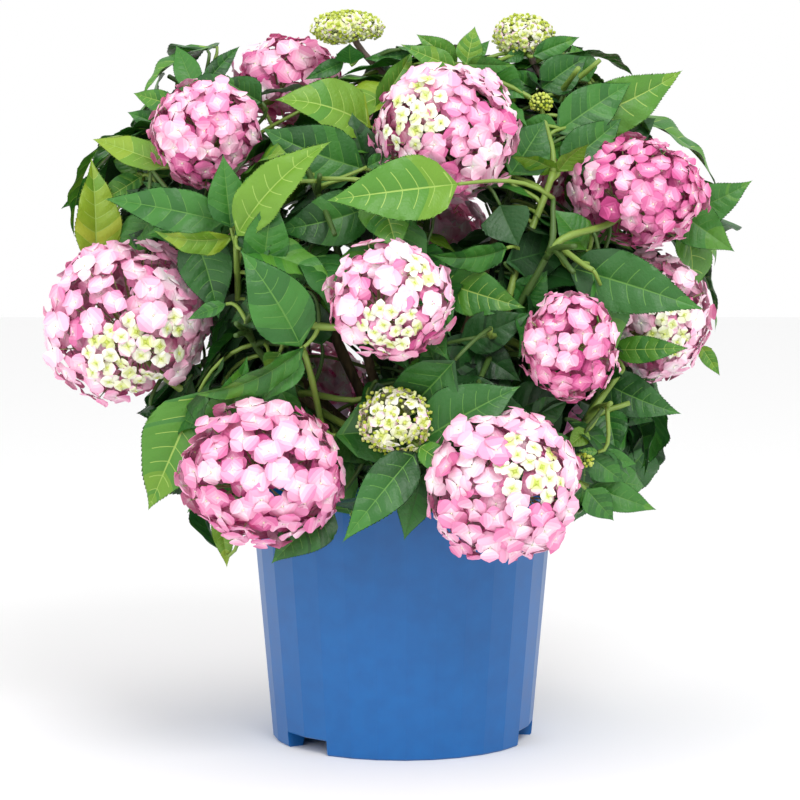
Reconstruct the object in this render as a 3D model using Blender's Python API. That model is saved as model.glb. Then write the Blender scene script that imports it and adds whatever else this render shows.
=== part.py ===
"""Potted bigleaf hydrangea: a nursery pot with its potting soil, a short stem base, the canes, the foliage masses and the flower heads.

Units are metres, +Z is up and -Y is the front. The origin is on the pot's axis, at the level its foot stands on.
Every sub-part is one closed solid of its own, and keeps a small gap to its neighbours.
"""

import math

import bmesh
import bpy
from mathutils import Vector, noise
from mathutils.bvhtree import BVHTree

# ---------------------------------------------------------------- named sizes
# Pot
POT_HEIGHT = 0.241
RIM_RADIUS = 0.1398
RIM_BAND_HEIGHT = 0.018
BODY_TOP_RADIUS = 0.1370
BODY_FOOT_RADIUS = 0.1176
WALL = 0.0024
FOOT_INNER_RADIUS = 0.1035
FLOOR_UNDERSIDE = 0.0125
FLOOR_TOP = 0.0154
NOTCH_COUNT = 3
NOTCH_FIRST_ANGLE = -46.5  # degrees from the front, towards +X
NOTCH_WIDTH = 25.0  # degrees
NOTCH_HEIGHT = 0.013
FOOT_STEPS = 8  # steps round each foot
NOTCH_STEPS = 2
DRAIN_HOLES = 4
DRAIN_RADIUS = 0.0065
DRAIN_CIRCLE = 0.062

# Potting soil
SOIL_TOP = 0.2215
SOIL_GAP = 0.0005
SOIL_ROUGH = 0.0025

# Stem base
STEM_FLARE_RADIUS = 0.031
STEM_RADIUS = 0.024
STEM_DOME_CENTRE = 0.237
STEM_DOME_HEIGHT = 0.020
STEM_STEPS = 14

# Canes
CANE_SIDES = 7
CANE_RINGS = 8
CANE_FOOT_RADIUS = 0.0052
CANE_TIP_RADIUS = 0.0034
CANE_CLEARANCE = 0.0009

# Open middle of the shrub, where the canes rise
CORE_CENTRE = Vector((0.0, 0.0, 0.335))
CORE_RADII = Vector((0.070, 0.070, 0.115))

# Gaps between neighbouring solids
MASS_GAP = 0.004
BLOOM_GAP = 0.0012
POT_GAP = 0.003

MASS_POINTS = 118
MASS_GROWTH = 1.14  # the masses are grown by this much before their neighbours cut them back
BLOOM_POINTS = 54
MASS_ROUGH = 0.15
BLOOM_ROUGH = 0.05

# Flower heads: centre, then half width, half depth and half height
BLOOMS = {
    "bloom_left_large": ((-0.240, -0.070, 0.379), (0.073, 0.066, 0.073)),
    "bloom_upper_left": ((-0.170, -0.070, 0.543), (0.050, 0.046, 0.048)),
    "bloom_top_left": ((-0.106, 0.070, 0.592), (0.053, 0.048, 0.043)),
    "bloom_cap_left": ((-0.049, 0.004, 0.6385), (0.033, 0.030, 0.0155)),
    "bloom_top_centre": ((0.037, -0.096, 0.544), (0.063, 0.058, 0.061)),
    "bloom_cap_right": ((0.109, 0.020, 0.632), (0.028, 0.027, 0.020)),
    "bloom_right_upper": ((0.206, -0.055, 0.492), (0.061, 0.055, 0.050)),
    "bloom_centre": ((-0.010, -0.215, 0.406), (0.053, 0.048, 0.050)),
    "bloom_right_centre": ((0.140, -0.185, 0.366), (0.042, 0.040, 0.047)),
    "bloom_right_rear": ((0.229, 0.006, 0.380), (0.050, 0.052, 0.060)),
    "bloom_lower_left": ((-0.115, -0.200, 0.262), (0.069, 0.060, 0.060)),
    "bloom_small_front": ((-0.006, -0.192, 0.304), (0.032, 0.030, 0.029)),
    "bloom_lower_right": ((0.083, -0.212, 0.252), (0.064, 0.059, 0.065)),
    "bloom_back_left": ((-0.185, 0.175, 0.468), (0.062, 0.060, 0.058)),
    "bloom_back_middle": ((0.020, 0.214, 0.436), (0.068, 0.057, 0.064)),
    "bloom_back_right": ((0.190, 0.165, 0.500), (0.060, 0.058, 0.054)),
    "bloom_back_low_left": ((-0.095, 0.212, 0.288), (0.066, 0.058, 0.060)),
    "bloom_back_low_right": ((0.150, 0.205, 0.300), (0.060, 0.058, 0.055)),
    "bloom_back_top": ((-0.010, 0.165, 0.560), (0.054, 0.052, 0.044)),
    "bloom_side_left": ((-0.222, 0.092, 0.372), (0.052, 0.056, 0.052)),
}
CREAM_BLOOMS = ("bloom_cap_left", "bloom_cap_right", "bloom_small_front")
DEEP_BLOOMS = ("bloom_right_upper", "bloom_lower_left", "bloom_right_centre")

# Foliage masses: centre, half width, half depth and half height, then the furthest leaf tips that it reaches
MASSES = {
    "foliage_far_left": (
        (-0.205, -0.005, 0.480),
        (0.085, 0.090, 0.065),
        ((-0.306, -0.020, 0.470), (-0.276, -0.030, 0.526), (-0.285, 0.020, 0.539), (-0.250, 0.085, 0.520)),
    ),
    "foliage_top_left": (
        (-0.165, 0.015, 0.570),
        (0.070, 0.075, 0.050),
        ((-0.145, 0.000, 0.622), (-0.241, 0.000, 0.584), (-0.200, -0.005, 0.612), (-0.215, 0.050, 0.598)),
    ),
    "foliage_top_middle": (
        (0.005, 0.020, 0.560),
        (0.095, 0.085, 0.055),
        ((-0.001, 0.000, 0.628), (0.049, 0.005, 0.640), (0.080, 0.010, 0.634), (-0.046, 0.006, 0.622)),
    ),
    "foliage_top_right": (
        (0.135, 0.012, 0.570),
        (0.068, 0.080, 0.046),
        ((0.256, 0.000, 0.604), (0.160, 0.000, 0.634), (0.215, 0.045, 0.606), (0.125, -0.070, 0.600)),
    ),
    "foliage_right": (
        (0.205, 0.060, 0.440),
        (0.080, 0.085, 0.085),
        ((0.315, 0.010, 0.505), (0.300, 0.015, 0.440), (0.292, 0.045, 0.345), (0.285, 0.110, 0.455)),
    ),
    "foliage_right_front": (
        (0.125, -0.110, 0.440),
        (0.090, 0.100, 0.060),
        ((0.255, -0.135, 0.398), (0.190, -0.180, 0.445), (0.065, -0.200, 0.470)),
    ),
    "foliage_middle": (
        (-0.070, -0.105, 0.485),
        (0.100, 0.095, 0.065),
        ((-0.050, -0.215, 0.475), (0.035, -0.190, 0.480), (-0.135, -0.185, 0.490)),
    ),
    "foliage_left_front": (
        (-0.130, -0.125, 0.370),
        (0.080, 0.100, 0.070),
        ((-0.125, -0.230, 0.445), (-0.085, -0.240, 0.372), (-0.175, -0.205, 0.350)),
    ),
    "foliage_lower_left": (
        (-0.160, -0.065, 0.290),
        (0.056, 0.080, 0.055),
        ((-0.223, -0.080, 0.216), (-0.185, -0.130, 0.186), (-0.236, -0.055, 0.305)),
    ),
    "foliage_front_low": (
        (-0.020, -0.145, 0.268),
        (0.085, 0.070, 0.045),
        ((-0.047, -0.222, 0.208), (0.004, -0.185, 0.212)),
    ),
    "foliage_lower_right": (
        (0.160, -0.085, 0.295),
        (0.058, 0.085, 0.060),
        ((0.243, -0.080, 0.303), (0.225, -0.080, 0.218), (0.186, -0.115, 0.212)),
    ),
    "foliage_right_low_front": (
        (0.065, -0.125, 0.340),
        (0.075, 0.085, 0.060),
        ((0.040, -0.215, 0.345), (0.085, -0.215, 0.345)),
    ),
    "foliage_back_left": (
        (-0.150, 0.120, 0.390),
        (0.115, 0.120, 0.100),
        ((-0.245, 0.185, 0.395), (-0.110, 0.256, 0.400), (-0.190, 0.228, 0.375)),
    ),
    "foliage_back_right": (
        (0.145, 0.135, 0.390),
        (0.110, 0.120, 0.100),
        ((0.255, 0.185, 0.410), (0.120, 0.262, 0.385), (0.210, 0.222, 0.370)),
    ),
    "foliage_back_top": (
        (0.030, 0.125, 0.520),
        (0.115, 0.105, 0.075),
        ((0.085, 0.225, 0.560), (-0.090, 0.215, 0.520), (0.095, 0.150, 0.612)),
    ),
    "foliage_back_low": (
        (0.020, 0.170, 0.295),
        (0.110, 0.095, 0.060),
        ((0.030, 0.272, 0.315), (0.045, 0.245, 0.228), (-0.040, 0.262, 0.350)),
    ),
    "foliage_back_low_left": (
        (-0.155, 0.068, 0.285),
        (0.062, 0.090, 0.058),
        ((-0.200, 0.145, 0.222), (-0.215, 0.030, 0.222), (-0.175, 0.180, 0.262)),
    ),
    "foliage_back_low_right": (
        (0.165, 0.078, 0.288),
        (0.062, 0.090, 0.062),
        ((0.240, 0.080, 0.255), (0.220, 0.140, 0.226), (0.200, 0.030, 0.215)),
    ),
}

# Canes: the foliage mass that each one enters, and where it leaves the stem base's dome: degrees from the front
# towards +X, and degrees from straight up
CANES = {
    "cane_top_middle": ("foliage_top_middle", 0.0, 0.0),
    "cane_top_left": ("foliage_top_left", -112.0, 30.0),
    "cane_middle": ("foliage_middle", -32.0, 30.0),
    "cane_top_right": ("foliage_top_right", 78.0, 30.0),
    "cane_back_top": ("foliage_back_top", 166.0, 30.0),
    "cane_left_front": ("foliage_left_front", -22.0, 64.0),
    "cane_lower_left": ("foliage_lower_left", -61.0, 64.0),
    "cane_far_left": ("foliage_far_left", -101.0, 64.0),
    "cane_back_left": ("foliage_back_left", -141.0, 64.0),
    "cane_back_low": ("foliage_back_low", 179.0, 64.0),
    "cane_back_right": ("foliage_back_right", 140.0, 64.0),
    "cane_right": ("foliage_right", 100.0, 64.0),
    "cane_lower_right": ("foliage_lower_right", 60.0, 64.0),
    "cane_right_front": ("foliage_right_front", 19.0, 64.0),
}


# ---------------------------------------------------------------- helpers
def clear_scene():
    for ob in list(bpy.data.objects):
        bpy.data.objects.remove(ob, do_unlink=True)


def material(name, colour, roughness):
    mat = bpy.data.materials.new(name)
    mat.use_nodes = True
    shader = mat.node_tree.nodes["Principled BSDF"]
    shader.inputs["Base Color"].default_value = (*colour, 1.0)
    shader.inputs["Roughness"].default_value = roughness
    shader.inputs["Metallic"].default_value = 0.0
    return mat


def add_object(name, bm, mat, smooth=True, sharp=35.0):
    bmesh.ops.recalc_face_normals(bm, faces=bm.faces)
    mesh = bpy.data.meshes.new(name)
    bm.to_mesh(mesh)
    bm.free()
    if smooth:
        mesh.shade_smooth()
        mesh.set_sharp_from_angle(angle=math.radians(sharp))
    mesh.materials.append(mat)
    ob = bpy.data.objects.new(name, mesh)
    bpy.context.scene.collection.objects.link(ob)
    return ob


def turned_point(radius, degrees, z):
    """A point at a radius and at an angle from the front, towards +X."""
    a = math.radians(degrees)
    return Vector((radius * math.sin(a), -radius * math.cos(a), z))


def ringed_solid(rings, first, last):
    """A closed mesh from rings of points that share a count, closed by a fan to the first and to the last point."""
    bm = bmesh.new()
    rows = [[bm.verts.new(p) for p in ring] for ring in rings]
    n = len(rows[0])
    start, end = bm.verts.new(first), bm.verts.new(last)
    for i in range(n):
        j = (i + 1) % n
        bm.faces.new((start, rows[0][i], rows[0][j]))
        bm.faces.new((end, rows[-1][j], rows[-1][i]))
        for a, b in zip(rows, rows[1:]):
            bm.faces.new((a[i], b[i], b[j], a[j]))
    return bm


def spread(count):
    """Directions spread evenly over a sphere."""
    golden = math.pi * (3.0 - math.sqrt(5.0))
    out = []
    for i in range(count):
        z = 1.0 - (2.0 * i + 1.0) / count
        r = math.sqrt(1.0 - z * z)
        out.append(Vector((r * math.cos(golden * i), r * math.sin(golden * i), z)))
    return out


def reach(direction, radii):
    """How far an ellipsoid reaches from its centre along a direction."""
    return 1.0 / math.sqrt(sum((d / r) ** 2 for d, r in zip(direction, radii)))


def support(normal, radii):
    """How far an ellipsoid reaches as measured along a plane's normal."""
    return math.sqrt(sum((n * r) ** 2 for n, r in zip(normal, radii)))


def star_solid(centre, directions, lengths):
    """A closed solid whose points lie at the given lengths along the directions."""
    bm = bmesh.new()
    verts = [bm.verts.new(d) for d in directions]
    hull = bmesh.ops.convex_hull(bm, input=verts)
    loose = [g for g in hull["geom_interior"] if isinstance(g, bmesh.types.BMVert)]
    if loose:
        bmesh.ops.delete(bm, geom=loose, context="VERTS")
    bmesh.ops.recalc_face_normals(bm, faces=bm.faces)
    for v, length in zip(verts, lengths):
        v.co = centre + v.co.normalized() * length
    return bm


def uneven(direction, seed, amount, scale):
    offset = Vector((seed * 7.31, seed * 3.17, seed * 5.03))
    return 1.0 + amount * noise.noise(direction * scale + offset)


# ---------------------------------------------------------------- pot
def pot_angles():
    """Angles round the pot, each with True where the foot is notched. A notch's end walls lie between two close angles."""
    out = []
    sector = 360.0 / NOTCH_COUNT
    step = 0.05
    for k in range(NOTCH_COUNT):
        start = NOTCH_FIRST_ANGLE - NOTCH_WIDTH / 2 + k * sector
        for i in range(NOTCH_STEPS + 1):
            nudge = step if i == 0 else -step if i == NOTCH_STEPS else 0.0
            out.append((start + NOTCH_WIDTH * i / NOTCH_STEPS + nudge, True))
        foot = start + NOTCH_WIDTH
        for i in range(FOOT_STEPS + 1):
            nudge = step if i == 0 else -step if i == FOOT_STEPS else 0.0
            out.append((foot + (sector - NOTCH_WIDTH) * i / FOOT_STEPS + nudge, False))
    return out


def body_radius(z):
    return BODY_FOOT_RADIUS + (BODY_TOP_RADIUS - BODY_FOOT_RADIUS) * z / (POT_HEIGHT - RIM_BAND_HEIGHT)


def pot_profile(notched):
    """Radius and height from the underside, round the outside and the rim, and down to the floor inside."""
    ledge = POT_HEIGHT - RIM_BAND_HEIGHT
    foot = 0.0 if not notched else NOTCH_HEIGHT
    soft = 0.0014
    under = [
        (FOOT_INNER_RADIUS - 0.0030, FLOOR_UNDERSIDE),
        (FOOT_INNER_RADIUS, foot),
        (body_radius(foot) - soft, foot),
        (body_radius(foot + soft), foot + soft),
    ]
    outside = [
        (body_radius(0.020), 0.020),
        (body_radius(ledge * 0.55), ledge * 0.55),
        (BODY_TOP_RADIUS, ledge),
        (RIM_RADIUS - 0.0004, ledge + 0.0004),
        (RIM_RADIUS, POT_HEIGHT - 0.0022),
        (RIM_RADIUS - 0.0012, POT_HEIGHT),
    ]
    inside = [
        (RIM_RADIUS - 0.0032, POT_HEIGHT),
        (RIM_RADIUS - 0.0044, POT_HEIGHT - 0.0022),
        (inner_radius(ledge - 0.004), ledge - 0.004),
        (inner_radius(ledge * 0.55), ledge * 0.55),
        (inner_radius(FLOOR_TOP), FLOOR_TOP),
    ]
    return under + outside + inside


def inner_radius(z):
    return body_radius(z) - WALL


def make_pot(mat):
    stations = pot_angles()
    count = len(pot_profile(False))
    rings = []
    for i in range(count):
        rings.append([turned_point(*_at(pot_profile(n)[i], a)) for a, n in stations])
    bm = ringed_solid(rings, (0, 0, FLOOR_UNDERSIDE), (0, 0, FLOOR_TOP))
    pot = add_object("pot", bm, mat, sharp=30.0)
    for k in range(DRAIN_HOLES):
        cut_drain(pot, k, mat)
    return pot


def _at(point, angle):
    radius, z = point
    return radius, angle, z


def cut_drain(pot, k, mat):
    """A drain hole through the pot's floor."""
    bm = bmesh.new()
    bmesh.ops.create_cone(
        bm, cap_ends=True, segments=8, radius1=DRAIN_RADIUS, radius2=DRAIN_RADIUS, depth=0.02
    )
    cutter = add_object(f"drain_cutter_{k + 1}", bm, mat, smooth=False)
    cutter.location = turned_point(DRAIN_CIRCLE, 45.0 + 360.0 * k / DRAIN_HOLES, FLOOR_UNDERSIDE)
    cutter.hide_render = True
    cutter.display_type = "WIRE"
    cut = pot.modifiers.new(f"drain_{k + 1}", "BOOLEAN")
    cut.operation = "DIFFERENCE"
    cut.solver = "EXACT"
    cut.object = cutter


def make_soil(mat):
    """The soil fills the pot up to a little under the rim. Its top is uneven, and level under the stem base."""
    angles = [a for a, _ in pot_angles()]
    bottom = FLOOR_TOP + SOIL_GAP
    middle = (POT_HEIGHT - RIM_BAND_HEIGHT) * 0.55
    rings = [
        [turned_point(inner_radius(bottom) - SOIL_GAP - 0.0004, a, bottom) for a in angles],
        [turned_point(inner_radius(middle) - SOIL_GAP, a, middle) for a in angles],
    ]
    edge = inner_radius(SOIL_TOP - 0.004) - SOIL_GAP - 0.0002
    for share, drop in ((1.0, 0.004), (0.72, 0.001), (0.30, 0.0)):
        ring = []
        for a in angles:
            p = turned_point(edge * share, a, 0.0)
            rough = SOIL_ROUGH * noise.noise(p * 40.0) if 0.3 < share < 1.0 else 0.0
            ring.append(p + Vector((0, 0, SOIL_TOP - drop + rough)))
        rings.append(ring)
    bm = ringed_solid(rings, (0, 0, bottom), (0, 0, SOIL_TOP))
    return add_object("potting_soil", bm, mat, sharp=30.0)


# ---------------------------------------------------------------- stem base and canes
def make_stem_base(mat):
    """A short woody stump on the soil, flared where it meets it, domed where the canes leave it."""
    foot = SOIL_TOP + 0.0004
    rings = [[], [], []]
    for i in range(STEM_STEPS):
        a = 360.0 * i / STEM_STEPS
        lobe = 1.0 + 0.06 * math.sin(math.radians(a * 5.0) + 0.7)
        rings[0].append(turned_point(STEM_FLARE_RADIUS * lobe, a, foot))
        rings[1].append(turned_point(STEM_RADIUS * 1.10, a, foot + 0.006))
        rings[2].append(turned_point(STEM_RADIUS, a, STEM_DOME_CENTRE))
    for polar in (30.0, 60.0):
        r = STEM_RADIUS * math.cos(math.radians(polar))
        z = STEM_DOME_CENTRE + STEM_DOME_HEIGHT * math.sin(math.radians(polar))
        rings.append([turned_point(r, 360.0 * i / STEM_STEPS, z) for i in range(STEM_STEPS)])
    top = STEM_DOME_CENTRE + STEM_DOME_HEIGHT
    bm = ringed_solid(rings, (0, 0, foot), (0, 0, top))
    return add_object("stem_base", bm, mat, sharp=50.0)


def cane_path(target, azimuth, polar, steps=160):
    """Points along a cane, from the stem base's dome in an arch to the middle of its mass."""
    dome = Vector((0, 0, STEM_DOME_CENTRE))
    turned = turned_point(math.sin(math.radians(polar)), azimuth, math.cos(math.radians(polar)))
    start = dome + turned * (reach(turned, (STEM_RADIUS, STEM_RADIUS, STEM_DOME_HEIGHT)) + CANE_CLEARANCE)
    flat = Vector((target.x, target.y, 0.0))
    out = flat.normalized() if flat.length > 0.03 else Vector()
    span = (target - start).length
    one = start + turned * span * 0.36
    two = target - (out * 0.55 + Vector((0, 0, 1)) * 0.84).normalized() * span * 0.30
    pts = []
    for i in range(steps + 1):
        t = i / steps
        s = 1.0 - t
        pts.append(start * s**3 + one * (3 * s * s * t) + two * (3 * s * t * t) + target * t**3)
    return pts


def make_cane(name, mass_tree, target, azimuth, polar, mat):
    """One tapering limb that ends where it meets its mass."""
    pts = cane_path(target, azimuth, polar)
    kept = [pts[0]]
    for p in pts[1:]:
        _, _, _, gap = mass_tree.find_nearest(p)
        if gap is None or gap < CANE_TIP_RADIUS + 0.0012:
            break
        kept.append(p)
    rings = []
    frame = Vector((0, 0, 1)).cross(kept[1] - kept[0])
    frame = frame.normalized() if frame.length > 1e-9 else Vector((1, 0, 0))
    for i in range(CANE_RINGS):
        at = i / (CANE_RINGS - 1) * (len(kept) - 1)
        low = min(int(at), len(kept) - 2)
        p = kept[low].lerp(kept[low + 1], at - low)
        along = (kept[low + 1] - kept[low]).normalized()
        frame = (frame - along * frame.dot(along)).normalized()
        side = along.cross(frame)
        share = i / (CANE_RINGS - 1)
        radius = CANE_FOOT_RADIUS + (CANE_TIP_RADIUS - CANE_FOOT_RADIUS) * share
        ring = []
        for k in range(CANE_SIDES):
            a = 2.0 * math.pi * k / CANE_SIDES
            ring.append(p + (frame * math.cos(a) + side * math.sin(a)) * radius)
        rings.append(ring)
    bm = ringed_solid(rings, kept[0], rings_middle(rings[-1]))
    return add_object(name, bm, mat, sharp=60.0)


def rings_middle(ring):
    return sum(ring, Vector()) / len(ring)


# ---------------------------------------------------------------- flower heads and foliage
def keep_off(centre, other, radii, gap):
    """The plane that keeps a solid around centre off an ellipsoid: its normal, and how far it may reach along it."""
    normal = (Vector(other) - centre).normalized()
    return normal, normal.dot(Vector(other)) - support(normal, radii) - gap


def keep_off_core(centre):
    scaled = Vector([(c - k) / r for c, k, r in zip(centre, CORE_CENTRE, CORE_RADII)])
    on = CORE_CENTRE + (centre - CORE_CENTRE) / scaled.length
    normal = -Vector([s / r for s, r in zip(scaled, CORE_RADII)]).normalized()
    return normal, normal.dot(on)


def keep_off_pot(centre):
    """The plane between a solid and the nearest point of the pot's own outline."""
    flat = Vector((centre.x, centre.y, 0.0))
    near = flat.normalized() * min(flat.length, RIM_RADIUS) if flat.length > 1e-6 else Vector()
    near.z = min(centre.z, POT_HEIGHT)
    normal = (near - centre).normalized()
    return normal, normal.dot(near) - POT_GAP


def keep_off_cane(centre, mass):
    """The planes that keep a mass off the canes that pass it on their way to other masses."""
    planes = []
    for target, azimuth, polar in CANES.values():
        if target == mass:
            continue
        at = Vector(MASSES[target][0])
        near_end = 0.55 * sum(MASSES[target][1]) / 3.0
        passing = [p for p in cane_path(at, azimuth, polar, 40) if (p - at).length > near_end]
        close = min(passing, key=lambda p: (p - centre).length)
        normal = (close - centre).normalized()
        planes.append((normal, normal.dot(close) - CANE_FOOT_RADIUS - 0.003))
    return planes


def share_plane(centre, size, other, other_size):
    """The plane between two masses, nearer to the smaller one."""
    apart = Vector(other) - centre
    far = apart.length
    normal = apart / far
    at = 0.5 * far + (size**2 - other_size**2) / (2.0 * far)
    at = min(max(at, 0.28 * far), 0.72 * far)
    return normal, normal.dot(centre) + at - MASS_GAP / 2


def clipped(centre, direction, length, planes):
    for normal, limit in planes:
        lean = normal.dot(direction)
        if lean > 1e-6:
            length = min(length, (limit - normal.dot(centre)) / lean)
    return length


def make_bloom(name, index, mat):
    """An uneven ball: the outer shape of one flower head."""
    centre, radii = Vector(BLOOMS[name][0]), BLOOMS[name][1]
    planes = []
    for other, (at, size) in BLOOMS.items():
        if other != name:
            apart = Vector(at) - centre
            normal = apart.normalized()
            room = apart.length - support(normal, radii) - support(normal, size)
            if room < BLOOM_GAP:
                limit = support(normal, radii) + room / 2 - BLOOM_GAP / 2
                planes.append((normal, normal.dot(centre) + limit))
    planes.append(keep_off_pot(centre))
    directions = spread(BLOOM_POINTS)
    lengths = [
        clipped(centre, d, reach(d, radii) * uneven(d, index + 1, BLOOM_ROUGH, 2.6), planes)
        for d in directions
    ]
    return add_object(name, star_solid(centre, directions, lengths), mat, sharp=80.0)


def make_mass(name, index, mat):
    """One uneven body of leaves, kept off its neighbours, with its furthest leaf tips standing out."""
    at, radii, tips = MASSES[name]
    centre = Vector(at)
    size = sum(radii) / 3.0
    planes = [keep_off_core(centre), keep_off_pot(centre), *keep_off_cane(centre, name)]
    for other, (there, sizes, _) in MASSES.items():
        if other != name:
            planes.append(share_plane(centre, size, there, sum(sizes) / 3.0))
    for there, sizes in BLOOMS.values():
        grown = tuple(s * (1.0 + BLOOM_ROUGH * 0.8) for s in sizes)
        planes.append(keep_off(centre, there, grown, BLOOM_GAP))
    directions = spread(MASS_POINTS)
    lengths = [
        MASS_GROWTH * reach(d, radii) * uneven(d, index + 31, MASS_ROUGH * 2.0, 2.2) for d in directions
    ]
    taken = set()
    for tip in tips:
        to = Vector(tip) - centre
        free = [i for i in range(len(directions)) if i not in taken]
        near = max(free, key=lambda i: directions[i].dot(to.normalized()))
        taken.add(near)
        directions[near] = to.normalized()
        lengths[near] = to.length
    lengths = [clipped(centre, d, r, planes) for d, r in zip(directions, lengths)]
    return add_object(name, star_solid(centre, directions, lengths), mat, smooth=False)


def tree_of(ob):
    mesh = ob.data
    return BVHTree.FromPolygons(
        [v.co.copy() for v in mesh.vertices], [tuple(p.vertices) for p in mesh.polygons]
    )


def main():
    clear_scene()
    plastic = material("pot_plastic", (0.004, 0.130, 0.376), 0.38)
    soil = material("potting_soil", (0.030, 0.020, 0.013), 0.95)
    wood = material("stem_bark", (0.165, 0.110, 0.065), 0.80)
    green_wood = material("cane_bark", (0.200, 0.185, 0.085), 0.70)
    leaf = material("leaf_green", (0.050, 0.160, 0.030), 0.50)
    pink = material("bloom_pink", (0.760, 0.330, 0.530), 0.60)
    deep = material("bloom_deep_pink", (0.640, 0.170, 0.400), 0.60)
    cream = material("bloom_cream", (0.640, 0.690, 0.400), 0.60)
    make_pot(plastic)
    make_soil(soil)
    make_stem_base(wood)
    for index, name in enumerate(BLOOMS):
        kind = cream if name in CREAM_BLOOMS else deep if name in DEEP_BLOOMS else pink
        make_bloom(name, index, kind)
    trees = {}
    for index, name in enumerate(MASSES):
        trees[name] = tree_of(make_mass(name, index, leaf))
    for name, (mass, azimuth, polar) in CANES.items():
        make_cane(name, trees[mass], Vector(MASSES[mass][0]), azimuth, polar, green_wood)


main()
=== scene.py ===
"""A bigleaf hydrangea in a round blue nursery pot: the looks.

Leaves, florets, shoots and soil are built as meshes around the fixed frame.
Units are metres, +Z is up, and the photograph's view looks along +Y.
"""
import math

import bpy
import numpy as np
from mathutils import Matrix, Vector


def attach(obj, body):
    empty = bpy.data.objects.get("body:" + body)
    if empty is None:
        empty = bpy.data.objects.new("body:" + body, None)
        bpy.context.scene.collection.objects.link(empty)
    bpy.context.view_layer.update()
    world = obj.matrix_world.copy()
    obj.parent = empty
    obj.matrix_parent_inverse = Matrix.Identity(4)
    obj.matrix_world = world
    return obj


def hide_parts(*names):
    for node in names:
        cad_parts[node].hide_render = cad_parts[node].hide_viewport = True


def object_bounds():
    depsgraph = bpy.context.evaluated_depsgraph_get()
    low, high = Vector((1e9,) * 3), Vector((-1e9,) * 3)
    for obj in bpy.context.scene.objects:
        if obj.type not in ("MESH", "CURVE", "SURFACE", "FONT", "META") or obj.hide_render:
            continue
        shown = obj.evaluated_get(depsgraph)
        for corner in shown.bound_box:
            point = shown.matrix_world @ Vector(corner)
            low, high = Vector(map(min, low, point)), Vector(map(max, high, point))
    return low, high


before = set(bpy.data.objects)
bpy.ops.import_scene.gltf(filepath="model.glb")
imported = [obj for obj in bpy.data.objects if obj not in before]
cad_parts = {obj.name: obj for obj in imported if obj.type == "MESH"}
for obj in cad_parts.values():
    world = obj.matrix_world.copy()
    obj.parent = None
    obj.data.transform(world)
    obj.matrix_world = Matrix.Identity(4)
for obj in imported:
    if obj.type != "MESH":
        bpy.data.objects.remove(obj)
cad_lo, cad_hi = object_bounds()
scene = bpy.context.scene
rng = np.random.default_rng(20417)

# ---------------------------------------------------------------- the camera
CAMERA = np.array((-0.002, -2.4, 0.51))
AIM = np.array((-0.002, 0.0, 0.305))
LENS, SENSOR = 120.0, 36.0
FOCAL = 800 * LENS / SENSOR
PITCH = math.atan2(CAMERA[2] - AIM[2], AIM[1] - CAMERA[1])
FORWARD = np.array((0.0, math.cos(PITCH), -math.sin(PITCH)))
UPWARD = np.array((0.0, math.sin(PITCH), math.cos(PITCH)))


def see(points):
    """Pixel x, pixel y and depth of points in the photograph's frame."""
    r = np.asarray(points, float) - CAMERA
    d = r @ FORWARD
    return 400 + FOCAL * r[..., 0] / d, 400 - FOCAL * (r @ UPWARD) / d, d


def place(px, py, y):
    """The point at a pixel of the photograph, at depth y."""
    ray = FORWARD + np.array((1.0, 0, 0)) * (px - 400) / FOCAL - UPWARD * (py - 400) / FOCAL
    return CAMERA + ray * (y - CAMERA[1]) / ray[1]


# -------------------------------------------------------------- small helpers
def unit(v):
    v = np.asarray(v, float)
    return v / max(np.linalg.norm(v), 1e-12)


def linear(rgb):
    c = np.asarray(rgb, float) / 255.0
    return np.where(c <= 0.04045, c / 12.92, ((c + 0.055) / 1.055) ** 2.4)


class Sheaf:
    """Many small shapes collected into one mesh."""

    def __init__(self):
        self.v, self.f, self.m, self.n = [], [], [], 0

    def add(self, verts, faces, mats):
        faces = np.asarray(faces, np.int64)
        if faces.shape[1] == 3:
            faces = np.concatenate([faces, np.full((len(faces), 1), -1)], 1)
        self.v.append(np.asarray(verts, np.float64))
        self.f.append(np.where(faces >= 0, faces + self.n, -1))
        self.m.append(np.broadcast_to(np.asarray(mats, np.int64), (len(faces),)))
        self.n += len(verts)

    def build(self, name, materials, smooth=True):
        verts, faces, mats = np.concatenate(self.v), np.concatenate(self.f), np.concatenate(self.m)
        me = bpy.data.meshes.new(name)
        me.vertices.add(len(verts))
        me.vertices.foreach_set("co", verts.astype(np.float32).ravel())
        loops = faces[faces >= 0]
        sides = np.where(faces[:, 3] < 0, 3, 4)
        me.loops.add(len(loops))
        me.loops.foreach_set("vertex_index", loops.astype(np.int32))
        me.polygons.add(len(faces))
        me.polygons.foreach_set("loop_start", np.concatenate([[0], np.cumsum(sides)[:-1]]).astype(np.int32))
        used = sorted(set(mats.tolist()))
        slot_of = {m: i for i, m in enumerate(used)}
        for m in used:
            me.materials.append(materials[m])
        me.polygons.foreach_set("material_index", np.array([slot_of[m] for m in mats.tolist()], np.int32))
        me.update(calc_edges=True)
        me.validate()
        if smooth:
            me.shade_smooth()
        ob = bpy.data.objects.new(name, me)
        scene.collection.objects.link(ob)
        return ob


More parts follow.
